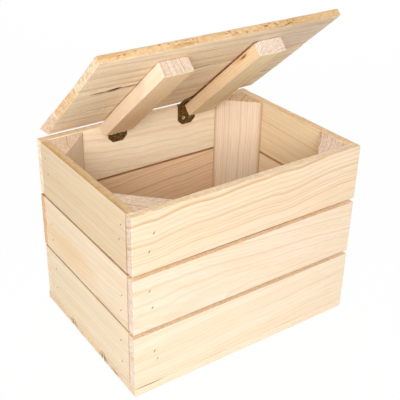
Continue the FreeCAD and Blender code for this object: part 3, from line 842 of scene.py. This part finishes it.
# Their left arris is waney and leaves a dark wedge under the lid: its height at the rear and at the
# front, then how far down and how far across the wane reaches.
WANE = {"left": (1.0 * MM, 0.1 * MM), "right": (2.6 * MM, 1.4 * MM)}
WANE_DEPTH = 9 * MM
WANE_WIDTH = 12 * MM
# The left one's rear end is torn into teeth where the saw came out: their height, spacing and reach.
TORN = {"left": 3.4 * MM, "right": 0.0}
TORN_PITCH = 6.5 * MM
TORN_REACH = 7 * MM


def batten_wear(rear_wane, front_wane, torn):
    """Gives the function that wears a batten's grid: the top goes down by the stand-off over the leaf or by
    the wane towards the left arris, whichever is more, and the rear end's lower edge goes up by a wave
    of straight-sided teeth."""
    def wear(grid):
        x, y, z = np.moveaxis(grid, 2, 0)
        low, high = grid.min((0, 1)), grid.max((0, 1))
        wane = np.interp(x, [low[0], high[0]], [rear_wane, front_wane])
        wane = wane * (1 - ramp(y, low[1], low[1] + WANE_WIDTH))
        gap = np.maximum(wane, STAND_OFF * (1 - ramp(x, leaf_end, leaf_end + STAND_FADE)))
        share = ramp(z, high[2] - WANE_DEPTH, high[2])
        tooth = np.abs((y / TORN_PITCH) % 1 - 0.5) * 2
        reach = (1 - ramp(x, 0, TORN_REACH)) * (1 - ramp(z, low[2], low[2] + TORN_REACH))
        return np.stack([x, y, z - gap * share + torn * tooth * reach], 2)
    return wear


for side, (low, high) in battens.items():
    plank(f"lid_batten_{side}", low, high, (0, -1, 0), (0, 0, 1), "lid", "pine_batten", (), LID_AXES,
          HINGE, step=FINE_STEP, wear=batten_wear(*WANE[side], TORN[side]))

# The hinge screws, two in each leaf: their places across the box, their profile as radius and depth,
# the rings of the flat face as shares of its radius, and the points in a ring.
SCREW_AT = (-63 * MM, -52 * MM, 54 * MM, 65 * MM)
SCREW_PROFILE = np.array([(2.8, 0.0), (2.8, 0.15), (1.3, 1.6), (1.3, 7.0), (0.4, 8.6), (0.1, 9.0)]) * MM
SCREW_FACE = np.linspace(0.05, 0.97, 14)
SCREW_AROUND = 64
# The cross recess: half a slot's width and length, the shares of these that are full depth, the depth,
# and how much tone is left at the bottom: painted shade in the recess, along with its own darker colour.
RECESS_HALF = 0.45 * MM
RECESS_REACH = 1.75 * MM
RECESS_FULL = (0.7, 0.6)
RECESS_DEPTH = 1.1 * MM
RECESS_SHADE = 0.12
# How far each screw was turned, in radians, and how bright each one is drawn.
SCREW_TURNS = (0.3, 1.1, 0.7, 0.1)
SCREW_BRIGHTNESS = np.array([0.3, 0.3, 1.0, 0.45])


def screws(node, body, places, axes):
    """Turned screws: rings about the axis over the flat face, then down the cone, shank and point. The
    face sinks by the recess depth inside a cross of two slots, less towards the slots' ends."""
    around = np.linspace(0, 2 * math.pi, SCREW_AROUND, endpoint=False)
    reach = np.concatenate([SCREW_FACE * SCREW_PROFILE[0, 0], SCREW_PROFILE[:, 0]])
    depth = np.concatenate([np.zeros(len(SCREW_FACE)), SCREW_PROFILE[:, 1]])
    u = reach[:, None] * np.cos(around)
    v = reach[:, None] * np.sin(around)
    cross = 1 - ramp(np.minimum(np.abs(u), np.abs(v)), RECESS_FULL[0] * RECESS_HALF, RECESS_HALF)
    sunk = cross * (1 - ramp(np.hypot(u, v), RECESS_FULL[1] * RECESS_REACH, RECESS_REACH))
    sunk[len(SCREW_FACE):] = 0
    grid = np.stack([depth[:, None] + RECESS_DEPTH * sunk, u, v], 2)
    tips = np.array([[RECESS_DEPTH, 0, 0], [SCREW_PROFILE[-1, 1], 0, 0]])
    points = np.concatenate([grid.reshape(-1, 3), tips])
    tone = np.append(1 - (1 - RECESS_SHADE) * sunk.ravel(), [RECESS_SHADE, 1])
    spots, lists = [], []
    for number, (place, turn) in enumerate(zip(places, SCREW_TURNS)):
        cos, sin = math.cos(turn), math.sin(turn)
        spin = np.array([[1, 0, 0], [0, cos, -sin], [0, sin, cos]])
        spots.append(points @ (axes @ spin).T + place)
        lists += [faces + number * len(points) for faces in tube_faces(*u.shape)]
    attributes = {"tone": np.outer(SCREW_BRIGHTNESS, tone).ravel()}
    piece = put_mesh(node + "_turned", np.concatenate(spots), lists, attributes, finishes["screw_steel"])
    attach(piece, body)
    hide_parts(node)


low, high = box_of("hinge_wall_screws")
into_wall = np.array([[0, 1, 0], [1, 0, 0], [0, 0, -1]]).T
places = [np.array([x, low[1], (low[2] + high[2]) / 2]) for x in SCREW_AT]
screws("hinge_wall_screws", "box", places, into_wall)
low, high = lid_box_of("hinge_lid_screws")
into_lid = LID_AXES @ np.array([[0, 0, 1], [1, 0, 0], [0, 1, 0]]).T
places = [LID_AXES @ np.array([x, (low[1] + high[1]) / 2, low[2]]) + HINGE for x in SCREW_AT]
screws("hinge_lid_screws", "lid", places, into_lid)

# Metal pieces keep their solids.
for node, thing in frame["nodes"].items():
    slot = next(entry["material_slot"] for entry in frame["record"]["subparts"] if entry["node"] == node)
    for holder in thing.material_slots:
        holder.material = finishes[slot]

# The floor: its colour, how much of it shows plain white to the camera, its half side in metres and how
# far below the box it lies.
FLOOR_COLOUR = "#f2f2f0"
FLOOR_GLOW = 0.97
FLOOR_HALF = 4.0
FLOOR_DROP = 0.2 * MM
# The sheet right under the box: how far in from the box's sides, and how far below it.
UNDER_INSET = 4 * MM
UNDER_DROP = 0.1 * MM
# How strong the daylight is.
DOME_STRENGTH = 0.45


def background_rays(tree):
    """1 for rays that show the background: from the camera, or by way of metal or glass."""
    path = add(tree, "LightPath")
    seen = path["Is Camera Ray"]
    for ray in ("Is Glossy Ray", "Is Transmission Ray"):
        seen = add(tree, "Math", [seen, path[ray]], operation="MAXIMUM")["Value"]
    return seen


def level_sheet(name, half_x, half_y, drop, material):
    """A level rectangle about the origin, the drop below the box, with the given half sides."""
    points = np.column_stack([rectangle(2 * half_x, 2 * half_y), np.full(4, -drop)])
    put_mesh(name, points, [np.array([[0, 1, 2, 3]])], {}, material)


# A pale floor that shows white to the camera and keeps a faint shadow.
floor_paint, tree, output = new_finish("matt_white_floor")
seen = add(tree, "Math", [background_rays(tree), FLOOR_GLOW], operation="MULTIPLY")["Value"]
matt = add(tree, "BsdfDiffuse", {"Color": linear(FLOOR_COLOUR)})["BSDF"]
glow = add(tree, "Emission", {"Color": linear("#ffffff"), "Strength": 1.0})["Emission"]
mixed = add(tree, "MixShader", [seen, matt, glow])["Shader"]
tree.links.new(mixed, output.inputs["Surface"])
level_sheet("floor", FLOOR_HALF, FLOOR_HALF, FLOOR_DROP, floor_paint)

# The same floor without the glow right under the box, so that the joints of its boards stay dark.
shaded_paint, tree, output = new_finish("matt_white_floor_shaded")
matt = add(tree, "BsdfDiffuse", {"Color": linear(FLOOR_COLOUR)})["BSDF"]
tree.links.new(matt, output.inputs["Surface"])
half_x, half_y = np.array(cad_box[1][:2]) - UNDER_INSET
level_sheet("floor_under_box", half_x, half_y, UNDER_DROP, shaded_paint)

# Soft daylight all round, white where the camera looks past the floor.
world = bpy.data.worlds.new("studio")
bpy.context.scene.world = world
world.use_nodes = True
tree = world.node_tree
tree.nodes.clear()
dome = add(tree, "Background", {"Color": linear("#ffffff"), "Strength": DOME_STRENGTH})["Background"]
white = add(tree, "Background", {"Color": linear("#ffffff"), "Strength": 1.0})["Background"]
mixed = add(tree, "MixShader", [background_rays(tree), dome, white])["Shader"]
tree.links.new(mixed, tree.nodes.new("ShaderNodeOutputWorld").inputs["Surface"])

# A broad lamp at the camera's side, and a low one behind for the far faces: azimuth and rise in degrees,
# watts, and width in metres. Both stand at one distance from the point they are aimed at.
LAMPS = {"camera_side_lamp": (-40, 26, 45.5, 1.2), "low_back_lamp": (142, 4, 22, 0.6)}
LAMP_DISTANCE = 2.3
LAMP_AIM = np.array([0, 0, 0.18])
for name, (azimuth, rise, watts, width) in LAMPS.items():
    lamp = bpy.data.lights.new(name, "AREA")
    lamp.shape = "SQUARE"
    lamp.size = width
    lamp.energy = watts
    around, up = math.radians(azimuth), math.radians(rise)
    towards = np.array([math.sin(around) * math.cos(up), -math.cos(around) * math.cos(up), math.sin(up)])
    stand = bpy.data.objects.new(name, lamp)
    stand.location = LAMP_AIM + LAMP_DISTANCE * towards
    stand.rotation_euler = (math.radians(90) - up, 0, around)
    bpy.context.scene.collection.objects.link(stand)

# The camera stands to the left of the box's front and looks down on it: its place, how far it looks down
# and to the right in degrees, the sensor's width and the lens in mm, and the lens's shift.
CAMERA_AT = (-0.5328, -0.7482, 0.6851)
CAMERA_DOWN = 27.96
CAMERA_RIGHT = 32.66
SENSOR_WIDTH = 36
LENS = 68.55
LENS_SHIFT = (0.092, -0.0423)
lens = bpy.data.cameras.new("camera")
lens.sensor_width = SENSOR_WIDTH
lens.lens = LENS
lens.shift_x, lens.shift_y = LENS_SHIFT
camera = bpy.data.objects.new("camera", lens)
camera.location = CAMERA_AT
camera.rotation_euler = (math.radians(90 - CAMERA_DOWN), 0, math.radians(-CAMERA_RIGHT))
bpy.context.scene.collection.objects.link(camera)
bpy.context.scene.camera = camera
bpy.context.scene.view_settings.view_transform = "Standard"
